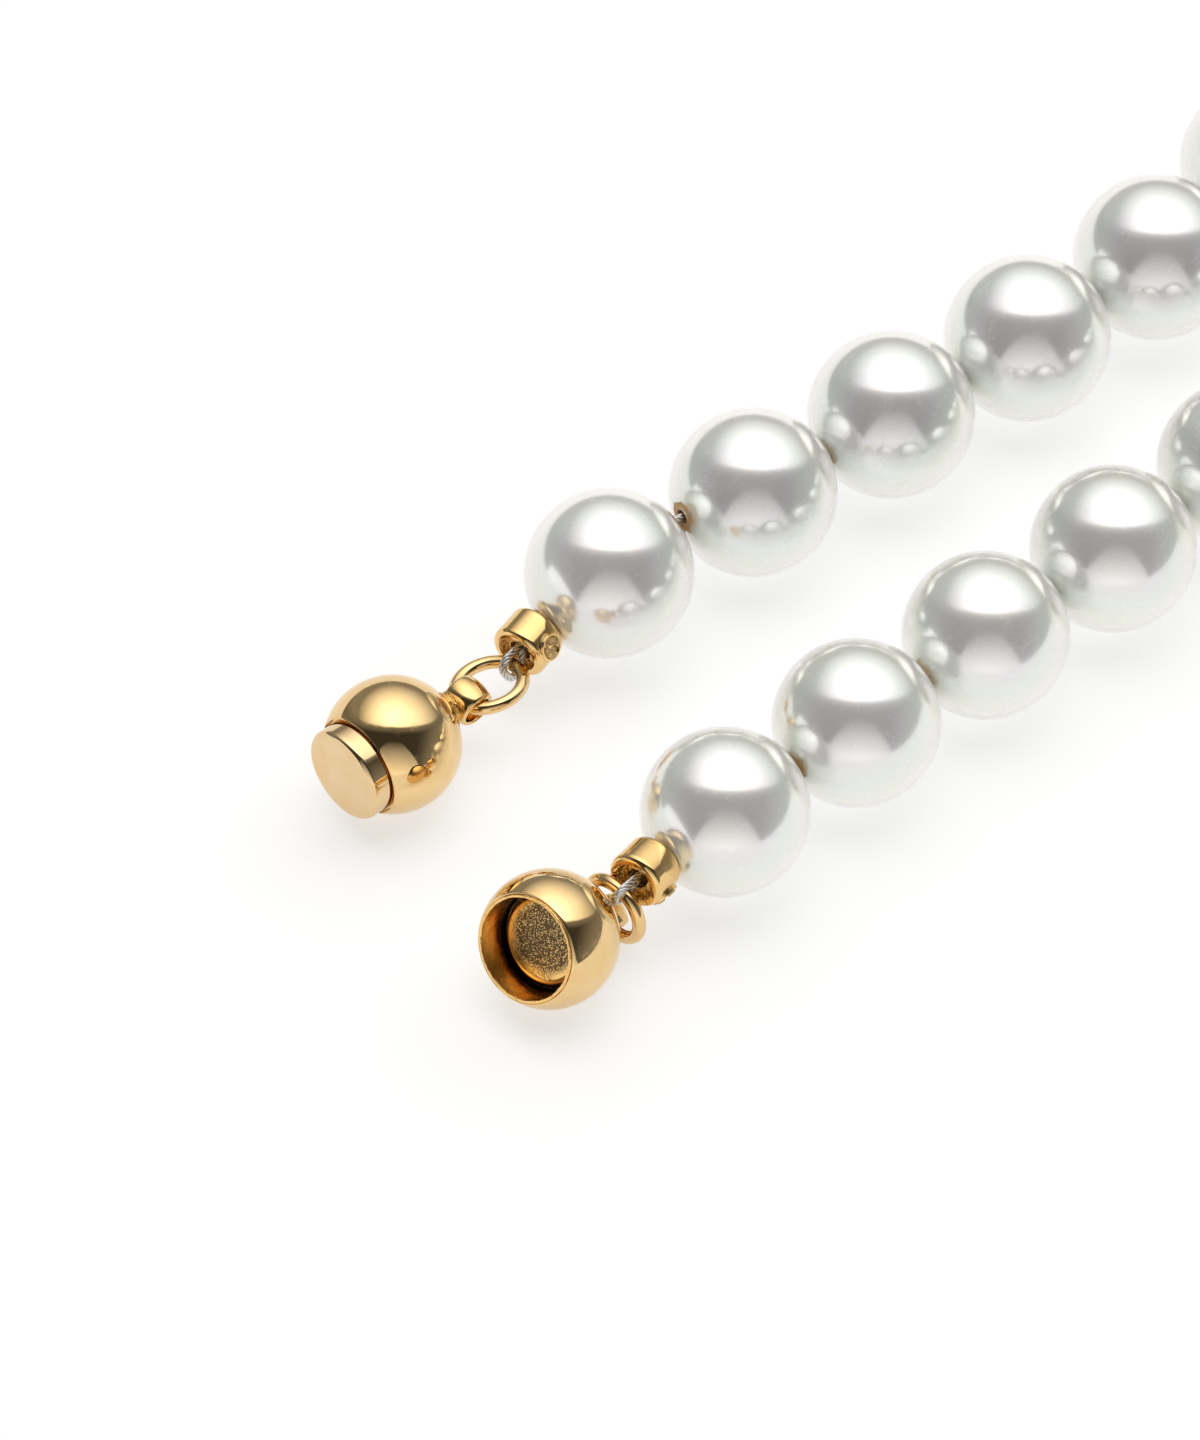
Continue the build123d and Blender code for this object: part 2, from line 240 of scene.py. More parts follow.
def lathe(name, profile, matrix, material, segments=128, closed=True, change=None):
    """Turned piece. profile is (r, z) from the outside; change(point, angle, index) may move a point."""
    rings = []
    vertices = []
    uvs = []
    total = len(profile)
    for index, (r, z) in enumerate(profile):
        if r < 1e-6:
            rings.append([len(vertices)])
            vertices.append(matrix @ Vector((0, 0, z)))
            uvs.append((0.5, index / total))
            continue
        ring = []
        for step in range(segments):
            angle = 2 * pi * step / segments
            local = Vector((r * cos(angle), r * sin(angle), z))
            if change is not None:
                local = change(local, angle, index)
            ring.append(len(vertices))
            vertices.append(matrix @ local)
            uvs.append((step / segments, index / total))
        rings.append(ring)
    faces = []
    for index in range(total if closed else total - 1):
        a = rings[index]
        b = rings[(index + 1) % total]
        for step in range(segments):
            following = (step + 1) % segments
            if len(a) == 1 and len(b) == 1:
                break
            if len(a) == 1:
                faces.append((a[0], b[step], b[following]))
            elif len(b) == 1:
                faces.append((a[step], b[0], a[following]))
            else:
                faces.append((a[step], b[step], b[following], a[following]))
    obj = new_object(name, vertices, faces, material, uvs)
    outward(obj)
    return obj


def outward(obj):
    """Face every normal of a closed mesh outwards."""
    mesh = bmesh.new()
    mesh.from_mesh(obj.data)
    bmesh.ops.recalc_face_normals(mesh, faces=mesh.faces)
    mesh.to_mesh(obj.data)
    mesh.free()
    obj.data.update()


def join(name, objects):
    """Several meshes as one piece, keeping their materials."""
    mesh = bmesh.new()
    materials = []
    for obj in objects:
        slots = []
        for material in obj.data.materials:
            if material not in materials:
                materials.append(material)
            slots.append(materials.index(material))
        first = len(mesh.faces)
        mesh.from_mesh(obj.data)
        mesh.faces.ensure_lookup_table()
        for face in mesh.faces[first:]:
            face.material_index = slots[face.material_index]
    data = bpy.data.meshes.new(name)
    mesh.to_mesh(data)
    mesh.free()
    for material in materials:
        data.materials.append(material)
    for obj in objects:
        bpy.data.objects.remove(obj)
    joined = bpy.data.objects.new(name, data)
    bpy.context.scene.collection.objects.link(joined)
    return joined


def rounded_path(points, radii, step):
    """Points along straight runs joined by tangent arcs."""
    result = [points[0].copy()]
    start = points[0]

    def run_to(target):
        origin = result[-1]
        pieces = max(1, int((target - origin).length / step + 0.5))
        for index in range(1, pieces + 1):
            result.append(origin.lerp(target, index / pieces))

    for index in range(1, len(points) - 1):
        corner = points[index]
        into = (corner - start).normalized()
        onward = (points[index + 1] - corner).normalized()
        turn = acos(max(-1.0, min(1.0, into.dot(onward))))
        if turn < 0.003:
            continue
        radius = radii[index - 1]
        setback = radius * tan(turn / 2)
        begin = corner - into * setback
        run_to(begin)
        centre = corner + (onward - into).normalized() * (radius / cos(turn / 2))
        arm = begin - centre
        axis = into.cross(onward).normalized()
        pieces = max(2, int(radius * turn / step + 0.5))
        for piece in range(1, pieces + 1):
            result.append(centre + Matrix.Rotation(turn * piece / pieces, 3, axis) @ arm)
        start = corner + onward * setback
    run_to(points[-1])
    return result


def carried_frames(points):
    """A tangent and a side direction at each point, turning as little as possible."""
    tangents = []
    for index in range(len(points)):
        a = points[max(0, index - 1)]
        b = points[min(len(points) - 1, index + 1)]
        tangents.append((b - a).normalized())
    side = square_to(Vector((0.3, 0.2, 1.0)), tangents[0])
    frames = []
    for tangent in tangents:
        side = square_to(side, tangent)
        frames.append((tangent, side))
    return frames


def twisted_cable(name, points, material, lay=CABLE_LAY, sides=8):
    """Six wires laid round a seventh, along a line of points."""
    frames = carried_frames(points)
    wire = CABLE_RADIUS / 3
    vertices = []
    faces = []
    uvs = []
    for strand in range(7):
        travelled = 0.0
        base = len(vertices)
        offset = 0.0 if strand == 6 else wire * 1.96
        for index, (point, (tangent, side)) in enumerate(zip(points, frames)):
            if index:
                travelled += (point - points[index - 1]).length
            other = tangent.cross(side)
            angle = 2 * pi * travelled / lay + strand * pi / 3
            centre = point + (side * cos(angle) + other * sin(angle)) * offset
            for corner in range(sides):
                around = 2 * pi * corner / sides
                vertices.append(centre + (side * cos(around) + other * sin(around)) * wire)
                uvs.append((corner / sides, travelled / 10))
        rows = len(points)
        for row in range(rows - 1):
            for corner in range(sides):
                following = (corner + 1) % sides
                a = base + row * sides
                faces.append((a + corner, a + following, a + sides + following, a + sides + corner))
        faces.append(tuple(base + corner for corner in reversed(range(sides))))
        faces.append(tuple(base + (rows - 1) * sides + corner for corner in range(sides)))
    return new_object(name, vertices, faces, material, uvs)


def jitter(point, scale, amount, seed=0.0):
    """Smooth noise vector at a point in millimetres."""
    return noise.noise_vector(point * scale + Vector((seed, seed * 1.7, -seed))) * amount


# --- materials ----------------------------------------------------------------------------
class Nodes:
    """Short way to build a node material."""

    def __init__(self, name):
        self.material = bpy.data.materials.new(name)
        self.material.use_nodes = True
        self.tree = self.material.node_tree
        self.tree.nodes.clear()
        self.out = self.tree.nodes.new("ShaderNodeOutputMaterial")
        self.shader = self.tree.nodes.new("ShaderNodeBsdfPrincipled")
        self.tree.links.new(self.shader.outputs[0], self.out.inputs[0])
        coordinates = self.tree.nodes.new("ShaderNodeTexCoord")
        scaled = self.tree.nodes.new("ShaderNodeVectorMath")
        scaled.operation = "SCALE"
        scaled.inputs["Scale"].default_value = 1 / MM
        self.tree.links.new(coordinates.outputs["Object"], scaled.inputs[0])
        self.place = scaled.outputs[0]
        self.uv = coordinates.outputs["UV"]

    def link(self, source, target):
        self.tree.links.new(source, target)

    def set(self, **values):
        for name, value in values.items():
            self.shader.inputs[name.replace("_", " ")].default_value = value

    def noise(self, scale, detail=3.0, roughness=0.5, distortion=0.0, vector=None):
        node = self.tree.nodes.new("ShaderNodeTexNoise")
        node.inputs["Scale"].default_value = scale
        node.inputs["Detail"].default_value = detail
        node.inputs["Roughness"].default_value = roughness
        node.inputs["Distortion"].default_value = distortion
        self.link(vector or self.place, node.inputs["Vector"])
        return node.outputs["Fac"]

    def cells(self, scale):
        node = self.tree.nodes.new("ShaderNodeTexVoronoi")
        node.inputs["Scale"].default_value = scale
        self.link(self.place, node.inputs["Vector"])
        return node.outputs["Distance"]

    def ramp(self, source, stops, interpolation="LINEAR"):
        node = self.tree.nodes.new("ShaderNodeValToRGB")
        node.color_ramp.interpolation = interpolation
        elements = node.color_ramp.elements
        while len(elements) < len(stops):
            elements.new(0.5)
        for element, (position, colour) in zip(elements, stops):
            element.position = position
            element.color = (*colour, 1.0) if isinstance(colour, tuple) else (colour, colour, colour, 1.0)
        self.link(source, node.inputs[0])
        return node.outputs[0]

    def math(self, operation, a, b=None, clamp=False):
        node = self.tree.nodes.new("ShaderNodeMath")
        node.operation = operation
        node.use_clamp = clamp
        for socket, value in zip(node.inputs, (a, b)):
            if value is None:
                continue
            if isinstance(value, (int, float)):
                socket.default_value = value
            else:
                self.link(value, socket)
        return node.outputs[0]

    def mix(self, factor, a, b, blend="MIX"):
        node = self.tree.nodes.new("ShaderNodeMix")
        node.data_type = "RGBA"
        node.blend_type = blend
        for socket, value in ((node.inputs[0], factor), (node.inputs[6], a), (node.inputs[7], b)):
            if isinstance(value, tuple):
                socket.default_value = (*value, 1.0)
            elif isinstance(value, (int, float)):
                socket.default_value = value
            else:
                self.link(value, socket)
        return node.outputs[2]

    def split(self, vector):
        node = self.tree.nodes.new("ShaderNodeSeparateXYZ")
        self.link(vector, node.inputs[0])
        return node.outputs

    def stretch(self, scales):
        node = self.tree.nodes.new("ShaderNodeVectorMath")
        node.operation = "MULTIPLY"
        node.inputs[1].default_value = scales
        self.link(self.place, node.inputs[0])
        return node.outputs[0]

    def facing(self, blend=0.5):
        node = self.tree.nodes.new("ShaderNodeLayerWeight")
        node.inputs["Blend"].default_value = blend
        return node.outputs["Facing"]

    def bump(self, *layers):
        """Each layer is (height, distance in mm, strength)."""
        normal = None
        for height, distance, strength in layers:
            node = self.tree.nodes.new("ShaderNodeBump")
            node.inputs["Strength"].default_value = strength
            node.inputs["Distance"].default_value = distance * MM
            self.link(height, node.inputs["Height"])
            if normal is not None:
                self.link(normal, node.inputs["Normal"])
            normal = node.outputs[0]
        self.link(normal, self.shader.inputs["Normal"])


def scratches(m, scale, density):
    """Thin straight marks in two directions, white where there is a mark."""
    marks = None
    for factors in ((1.0, 0.07, 0.35), (0.09, 1.0, 0.5)):
        streaks = m.noise(scale, 2.0, 0.5, 0.0, m.stretch(factors))
        line = m.ramp(streaks, [(0.5 - density, 0.0), (0.5, 1.0), (0.5 + density, 0.0)])
        patch = m.ramp(m.noise(0.9, 2.0), [(0.52, 0.0), (0.66, 1.0)])
        found = m.math("MULTIPLY", line, patch)
        marks = found if marks is None else m.math("MAXIMUM", marks, found)
    return marks


def pearl_material(name, chip_size):
    m = Nodes(name)
    place = m.split(m.place)
    along = m.split(m.uv)[1]
    side = m.ramp(m.math("ADD", m.math("MULTIPLY", place[1], 0.04), 0.5), [(0.2, 0.0), (0.8, 1.0)])
    each = m.noise(0.045, 0.0)
    cloud = m.noise(0.5, 4.0, 0.6)
    base = m.mix(side, (0.95, 0.935, 0.86), (0.95, 0.935, 0.91))
    tint = m.mix(m.ramp(each, [(0.35, 0.0), (0.65, 1.0)]), (1.0, 0.985, 0.985), (0.975, 0.985, 0.975))
    base = m.mix(1.0, base, tint, "MULTIPLY")
    base = m.mix(m.ramp(cloud, [(0.45, 0.0), (0.75, 0.16)]), base, (0.90, 0.87, 0.82))
    # painted sheen and shade: colour by facing angle paints the pearl's iridescent sheen, and its darker
    # warm end paints shade along the pearl's outline
    drift = m.math("MULTIPLY", m.math("SUBTRACT", m.noise(0.16, 1.0), 0.5), 0.30)
    painted_sheen_and_edge_shade = m.ramp(m.math("ADD", m.facing(0.35), drift), [
        (0.0, (0.97, 0.93, 0.92)), (0.10, (0.93, 0.92, 0.95)), (0.22, (0.90, 0.96, 0.92)),
        (0.36, (0.93, 0.95, 0.86)), (0.52, (0.97, 0.93, 0.90)), (0.74, (0.88, 0.86, 0.81)),
        (1.0, (0.70, 0.66, 0.56))])
    base = m.mix(0.8, base, painted_sheen_and_edge_shade)
    # the coating is broken around the drill holes
    ragged = m.math("ADD", m.noise(2.6, 5.0, 0.7), m.math("MULTIPLY", m.noise(0.8, 1.0), 0.8))
    near = m.math("MINIMUM", along, m.math("SUBTRACT", 1.0, along))
    edge = m.math("SUBTRACT", m.math("MULTIPLY", ragged, chip_size), near)
    chip = m.ramp(edge, [(0.0, 0.0), (0.0015, 1.0)])
    rim = m.ramp(m.math("ADD", edge, 0.004), [(0.0, 0.0), (0.004, 1.0)])
    brown = m.mix(m.noise(7.0, 3.0), (0.42, 0.23, 0.07), (0.86, 0.62, 0.33))
    base = m.mix(m.math("MULTIPLY", rim, 0.45), base, (0.97, 0.96, 0.94))
    base = m.mix(chip, base, brown)
    # dust and pinholes
    specks = m.ramp(m.cells(2.6), [(0.03, 1.0), (0.075, 0.0)])
    chosen = m.ramp(m.noise(1.1, 1.0), [(0.56, 0.0), (0.62, 1.0)])
    specks = m.math("MULTIPLY", specks, chosen)
    base = m.mix(m.math("MULTIPLY", specks, 0.35), base, (0.42, 0.38, 0.34))
    m.link(base, m.shader.inputs["Base Color"])
    marks = scratches(m, 14.0, 0.012)
    rough = m.ramp(m.noise(1.6, 4.0, 0.65), [(0.3, 0.17), (0.75, 0.22)])
    rough = m.math("ADD", rough, m.math("MULTIPLY", marks, 0.2))
    rough = m.math("ADD", rough, m.math("MULTIPLY", chip, 0.4), clamp=True)
    m.link(rough, m.shader.inputs["Roughness"])
    metal = m.math("MULTIPLY", m.math("SUBTRACT", 1.0, chip), 0.46)
    m.link(metal, m.shader.inputs["Metallic"])
    coat = m.math("SUBTRACT", 1.0, chip)
    m.link(coat, m.shader.inputs["Coat Weight"])
    m.set(Coat_Roughness=0.03, Coat_IOR=1.75, IOR=1.53)
    m.bump(
        (m.noise(0.35, 1.0), 0.03, 0.20), (m.noise(3.0, 2.0, 0.5), 0.0008, 0.3),
        (marks, -0.001, 0.25), (specks, -0.002, 0.25), (chip, -0.06, 0.9))
    return m.material


def gold_material(name, colour, rough=(0.035, 0.07), wear=1.0, grain=0.0):
    m = Nodes(name)
    hue = m.noise(0.6, 3.0)
    deep = tuple(c * f for c, f in zip(colour, (0.96, 0.91, 0.82)))
    base = m.mix(m.ramp(hue, [(0.35, 0.0), (0.7, 1.0)]), colour, deep)
    marks = scratches(m, 22.0, 0.010)
    base = m.mix(m.math("MULTIPLY", marks, 0.25 * wear), base, tuple(c * 0.8 for c in colour))
    m.link(base, m.shader.inputs["Base Color"])
    value = m.ramp(m.noise(4.0, 5.0, 0.7), [(0.35, rough[0]), (0.75, rough[1])])
    value = m.math("ADD", value, m.math("MULTIPLY", marks, 0.15 * wear), clamp=True)
    m.link(value, m.shader.inputs["Roughness"])
    m.set(Metallic=1.0)
    layers = [
        (m.noise(0.55, 2.0), 0.03, 0.25), (m.noise(9.0, 4.0, 0.65), 0.0012, 0.5 * wear),
        (marks, -0.0015, 0.6 * wear)]
    if grain:
        layers.append((m.noise(5.0, 5.0, 0.75), grain, 0.9))
    m.bump(*layers)
    return m.material


def rough_gold_material(name, colour, dark, scale, depth):
    """Solder and other unpolished gold."""
    m = Nodes(name)
    lumps = m.noise(scale, 5.0, 0.72, 0.6)
    pits = m.cells(scale * 1.7)
    base = m.mix(m.ramp(lumps, [(0.38, 0.0), (0.62, 1.0)]), dark, colour)
    m.link(base, m.shader.inputs["Base Color"])
    m.link(m.ramp(pits, [(0.0, 0.34), (0.6, 0.14)]), m.shader.inputs["Roughness"])
    m.set(Metallic=1.0)
    m.bump((lumps, depth, 0.9), (pits, depth * 0.5, 0.6))
    return m.material


def magnet_material(name, middle):
    """Thin gold over a gritty sintered face, worn smooth outside a round patch about a point."""
    m = Nodes(name)
    grains = m.cells(9.0)
    fine = m.noise(10.0, 4.0, 0.7)
    offset = m.tree.nodes.new("ShaderNodeVectorMath")
    offset.operation = "DISTANCE"
    offset.inputs[1].default_value = tuple(middle)
    m.link(m.place, offset.inputs[0])
    away = m.math("ADD", offset.outputs["Value"], m.math("MULTIPLY", m.noise(1.5, 3.0), 0.8))
    gritty = m.ramp(m.math("MULTIPLY", away, 0.2), [(0.46, 1.0), (0.56, 0.0)])
    dark = m.ramp(m.math("ADD", m.math("MULTIPLY", fine, 0.7), m.math("MULTIPLY", grains, 0.6)), [
        (0.52, 0.0), (0.60, 1.0)])
    dark = m.math("MULTIPLY", dark, gritty)
    tone = m.mix(m.noise(0.5, 2.0), (0.78, 0.53, 0.22), (0.86, 0.60, 0.28))
    tone = m.mix(gritty, (0.92, 0.58, 0.20), tone)
    base = m.mix(dark, tone, (0.13, 0.085, 0.04))
    m.link(base, m.shader.inputs["Base Color"])
    rough = m.ramp(fine, [(0.3, 0.24), (0.7, 0.42)])
    worn = m.math("ADD", m.math("MULTIPLY", gritty, 0.4), 0.6)
    m.link(m.math("MULTIPLY", rough, worn), m.shader.inputs["Roughness"])
    m.set(Metallic=0.95)
    m.bump((m.math("MULTIPLY", fine, gritty), 0.03, 0.8), (m.math("MULTIPLY", grains, gritty), 0.02, 0.6))
    return m.material


def cable_material(name):
    m = Nodes(name)
    base = m.mix(m.noise(3.0, 3.0), (0.50, 0.48, 0.46), (0.78, 0.76, 0.73))
    m.link(base, m.shader.inputs["Base Color"])
    m.link(m.ramp(m.noise(12.0, 3.0), [(0.3, 0.16), (0.7, 0.34)]), m.shader.inputs["Roughness"])
    m.set(Metallic=1.0)
    m.bump((m.noise(30.0, 2.0), 0.004, 0.5))
    return m.material


GOLD = (0.82, 0.59, 0.295)
NACRE = pearl_material("nacre", 0.012)
NACRE_CHIPPED = pearl_material("nacre_chipped", 0.075)
BALL_GOLD = gold_material("polished_gold", GOLD)
RING_GOLD = gold_material("ring_gold", (0.81, 0.575, 0.28), (0.05, 0.10), 1.2)
CRIMP_GOLD = gold_material("crimp_gold", (0.83, 0.58, 0.255), (0.03, 0.06), 1.3)
EYE_GOLD = gold_material("eye_gold", (0.82, 0.575, 0.26), (0.04, 0.10), 1.0, 0.002)
PLUG_GOLD = gold_material("plug_gold", (0.79, 0.585, 0.33), (0.06, 0.12), 1.0)
SOLDER = rough_gold_material("solder", (0.86, 0.57, 0.20), (0.50, 0.25, 0.06), 3.5, 0.05)
THROAT_GOLD = rough_gold_material("rough_inside", (0.95, 0.66, 0.25), (0.70, 0.38, 0.10), 4.0, 0.05)
CUP_GOLD = gold_material("cup_gold", (0.90, 0.58, 0.22), (0.16, 0.30), 1.5, 0.012)
# painted shade: this near-black gold paints the shade in the groove round the magnet
GROOVE_SHADE = rough_gold_material("painted_groove_shade", (0.10, 0.06, 0.02), (0.03, 0.02, 0.01), 3.0, 0.02)
SCREW_GOLD = rough_gold_material("screw_gold", (0.62, 0.42, 0.18), (0.26, 0.16, 0.06), 4.0, 0.04)
SOCKET_AXIS = ENDS["b"]["ball"]
magnet_middle = ENDS["b"]["ball_centre"] + SOCKET_AXIS * MAGNET_FACE
grit_middle = magnet_middle + square_to(Vector((0, 0, 1)), SOCKET_AXIS) * 0.35
MAGNET = magnet_material("magnet_face", grit_middle)
STEEL = cable_material("twisted_steel")

def set_piece(obj, body, node):
    """Ride on a body in place of a CAD node."""
    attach(obj, body)
    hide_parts(node)


# --- pearls -------------------------------------------------------------------------------
gaps = [joint_place("crimp_swing_a")]
gaps += [joint_place(f"bend_{index:02d}_{index + 1:02d}") for index in range(1, PEARLS)]
gaps.append(joint_place("crimp_swing_b"))


def pearl_outline(radius):
    """(r, z, share) over the ball and back through the drill hole; share is above 0 on the ball only."""
    reach = radius * cos(DRILL_RADIUS / radius)
    first = (DRILL_RADIUS + HOLE_EDGE) / radius
    outline = []
    for row in range(PEARL_ROWS + 1):
        angle = first + (pi - 2 * first) * row / PEARL_ROWS
        outline.append((radius * sin(angle), radius * cos(angle), angle / pi))
    turns = [(step + 0.5) / RIM_ROWS * pi / 2 for step in range(RIM_ROWS)]
    for turn in turns:
        r = DRILL_RADIUS + HOLE_EDGE * (1 - sin(turn))
        outline.append((r, HOLE_EDGE * (1 - cos(turn)) - reach, 0.0))
    for row in range(HOLE_ROWS + 1):
        outline.append((DRILL_RADIUS, (reach - HOLE_EDGE) * (2 * row / HOLE_ROWS - 1), 0.0))
    for turn in turns:
        r = DRILL_RADIUS + HOLE_EDGE * (1 - cos(turn))
        outline.append((r, reach - HOLE_EDGE * (1 - sin(turn)), 0.0))
    return outline


def pearl(index):
    """Slightly uneven drilled ball, turned about its drill hole."""
    name = f"pearl_{index + 1:02d}"
    centre = node_centre(name)
    shrink = (PEARL_DIAMETER_B - PEARL_DIAMETER_A) * index / (PEARLS - 1)
    radius = (PEARL_DIAMETER_A + shrink) / 2
    before, after = gaps[index], gaps[index + 1]
    axis = (after - before).normalized()
    foot = before + axis * (centre - before).dot(axis)
    matrix = frame_matrix(foot, axis)
    inner = matrix.inverted() @ centre
    outline = pearl_outline(radius)
    segments = PEARL_SEGMENTS
    each = Vector((index * 3.7, 0, 0))
    vertices, uvs, faces = [], [], []
    for r, z, share in outline:
        for step in range(segments):
            turn = 2 * pi * step / segments
            point = Vector((r * cos(turn), r * sin(turn), z))
            if share > 0:
                out = (point - inner).normalized()
                dent = PEARL_UNEVEN * (1 + noise.noise(out * 1.3 + each))
                point = inner + out * radius * (1 - dent)
            vertices.append(matrix @ point)
            uvs.append((step / segments, share))
    for row in range(len(outline)):
        low = row * segments
        high = (row + 1) % len(outline) * segments
        for step in range(segments):
            following = (step + 1) % segments
            faces.append((low + step, low + following, high + following, high + step))
    chipped = index in (0, 1, PEARLS - 2, PEARLS - 1)
    obj = new_object(f"{name}_nacre", vertices, faces, NACRE_CHIPPED if chipped else NACRE, uvs)
    outward(obj)
    set_piece(obj, name, name)


for index in range(PEARLS):
    pearl(index)

# --- cable through the pearls, one length for each gap ------------------------------------
cable_ends = {side: end["crimp_back"] + end["crimp"] * CABLE_IN_CRIMP for side, end in ENDS.items()}
stops = [cable_ends["a"]]
for index in range(PEARLS):
    stops.append(gaps[index].lerp(gaps[index + 1], 0.5))
stops.append(cable_ends["b"])
for index in range(PEARLS + 1):
    bend = CABLE_END_BEND if index in (0, PEARLS) else CABLE_BEND
    path = rounded_path([stops[index], gaps[index], stops[index + 1]], [bend], 0.14)
    length = twisted_cable(f"cable_at_gap_{index + 1:02d}", path, STEEL)
    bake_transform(length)
    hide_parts("strand_cable")


# --- findings at each end -----------------------------------------------------------------
def crimp(side, end):
    matrix = frame_matrix(end["crimp_back"], end["crimp"], end["screw"])
    outline = rounded_profile([
        (CRIMP_BORE_RADIUS, 0.0), (CRIMP_RADIUS, 0.0), (CRIMP_RADIUS, CRIMP_LENGTH),
        (CRIMP_MOUTH_RADIUS - 0.05, CRIMP_LENGTH),
        (CRIMP_MOUTH_RADIUS - 0.20, CRIMP_LENGTH - CRIMP_MOUTH_DEPTH * 0.6),
        (CRIMP_BORE_RADIUS, CRIMP_LENGTH - CRIMP_MOUTH_DEPTH * 0.45)],
        [0.05, 0.28, 0.34, 0.08, 0.12, 0.10], 9)
    outline = fill_in(outline, 0.07, True)
    seed = 3.0 if side == "a" else 9.0

    def worn(point, angle, index):
        radius = sqrt(point.x**2 + point.y**2)
        inside = radius < CRIMP_MOUTH_RADIUS + 0.02 and point.z < CRIMP_LENGTH - 0.1
        if not inside:
            return point + jitter(point, 1.2, 0.002, seed)
        return point + jitter(point, 2.6, 0.11, seed) + jitter(point, 7.0, 0.03, seed)

    body = lathe("crimp_body", outline, matrix, CRIMP_GOLD, 160, True, worn)
    body.data.materials.append(THROAT_GOLD)
    inverse = matrix.inverted()
    for polygon in body.data.polygons:
        local = inverse @ (Vector(polygon.center) / MM)
        radius = sqrt(local.x**2 + local.y**2)
        if radius < CRIMP_MOUTH_RADIUS + 0.03 and local.z < CRIMP_LENGTH - 0.05:
            polygon.material_index = 1
    boss_matrix = frame_matrix(end["crimp_back"] + end["crimp"] * (CRIMP_LENGTH / 2), matrix.col[0].to_3d())
    top = CRIMP_RADIUS + BOSS_HEIGHT
    boss = rounded_profile([
        (SCREW_RADIUS + 0.02, top - 0.5), (BOSS_RADIUS + 0.03, top - 0.5), (BOSS_RADIUS, top),
        (SCREW_RADIUS + 0.02, top)], [0, 0, 0.06, 0.03], 5)
    ring = lathe("crimp_boss", fill_in(boss, 0.1, True), boss_matrix, CRIMP_GOLD, 72, True,
                 lambda p, a, i: p + jitter(p, 2.5, 0.012, seed))
    obj = join(f"crimp_{side}_barrel", [body, ring])
    set_piece(obj, f"crimp_{side}", f"crimp_{side}")

    # set screw: a disc with a rounded edge and a cut slot
    head = CRIMP_RADIUS + SCREW_STANDOFF
    rings, segments = 26, 96
    vertices, faces = [], []
    slot_angle = radians(SLOT_ANGLE)
    for row in range(rings + 1):
        r = SCREW_RADIUS * row / rings
        for step in range(segments):
            turn = 2 * pi * step / segments
            x, y = r * cos(turn), r * sin(turn)
            z = head - 0.07 * max(0.0, (r / SCREW_RADIUS - 0.86) / 0.14) ** 2
            across = abs(x * sin(slot_angle) - y * cos(slot_angle))
            cut = max(0.0, min(1.0, (SLOT_WIDTH / 2 - across) / 0.04))
            z -= SLOT_DEPTH * cut * cut * (3 - 2 * cut)
            z += 0.010 * noise.noise(Vector((x, y, seed)) * 5)
            vertices.append(boss_matrix @ Vector((x, y, z)))
    low = CABLE_RADIUS * 2.3
    base = len(vertices)
    for step in range(segments):
        turn = 2 * pi * step / segments
        vertices.append(boss_matrix @ Vector((SCREW_RADIUS * cos(turn), SCREW_RADIUS * sin(turn), low)))
    for row in range(rings):
        for step in range(segments):
            following = (step + 1) % segments
            a, b = row * segments, (row + 1) * segments
            faces.append((a + step, b + step, b + following, a + following))
    for step in range(segments):
        following = (step + 1) % segments
        a = rings * segments
        faces.append((a + step, base + step, base + following, a + following))
    faces.append(tuple(base + step for step in reversed(range(segments))))
    screw = new_object(f"set_screw_{side}_head", vertices, faces, SCREW_GOLD)
    mesh = bmesh.new()
    mesh.from_mesh(screw.data)
    bmesh.ops.remove_doubles(mesh, verts=mesh.verts, dist=1e-7)
    mesh.to_mesh(screw.data)
    mesh.free()
    outward(screw)
    set_piece(screw, f"crimp_{side}", f"set_screw_{side}")


def cable_loop(side, end):
    axis = end["crimp"]
    mouth = end["mouth"]
    offset = square_to(mouth - end["ring_centre"], end["ring_normal"])
    hold = end["ring_centre"] + offset * end["ring_radius"]
    along = end["ring_normal"].cross(hold - end["ring_centre"]).normalized()
    out = square_to((hold - mouth).normalized() + axis * end["loop_lean"], along)
    front = along.cross(out)
    leg = square_to(front, axis) * (CABLE_RADIUS * 1.14)
    deep = mouth - axis * (CRIMP_LENGTH - 0.85)
    throat = mouth - axis * 0.62
    points = [
        deep + leg, throat + leg, hold + front * LOOP_SIDE,
        hold + out * end["loop_reach"] + front * end["loop_tip"],
        hold + out * end["loop_reach"] - front * end["loop_tip"],
        hold - front * LOOP_SIDE, throat - leg, deep - leg]
    path = rounded_path(points, (0.3, 0.35, 0.5, 0.5, 0.35, 0.3), 0.05)
    obj = twisted_cable(f"cable_loop_{side}_strands", path, STEEL, LOOP_LAY, 10)
    set_piece(obj, f"crimp_{side}", f"cable_loop_{side}")


def jump_ring(side, end):
    matrix = frame_matrix(end["ring_centre"], end["ring_normal"])
    outline = []
    for step in range(28):
        turn = 2 * pi * step / 28
        outline.append((end["ring_radius"] + RING_WIRE_RADIUS * cos(turn), RING_WIRE_RADIUS * sin(turn)))
    obj = lathe(f"jump_ring_{side}_wire", outline, matrix, RING_GOLD, 160, True,
                lambda p, a, i: p + jitter(p, 0.9, 0.006, 2.0))
    set_piece(obj, f"ring_{side}", f"jump_ring_{side}")


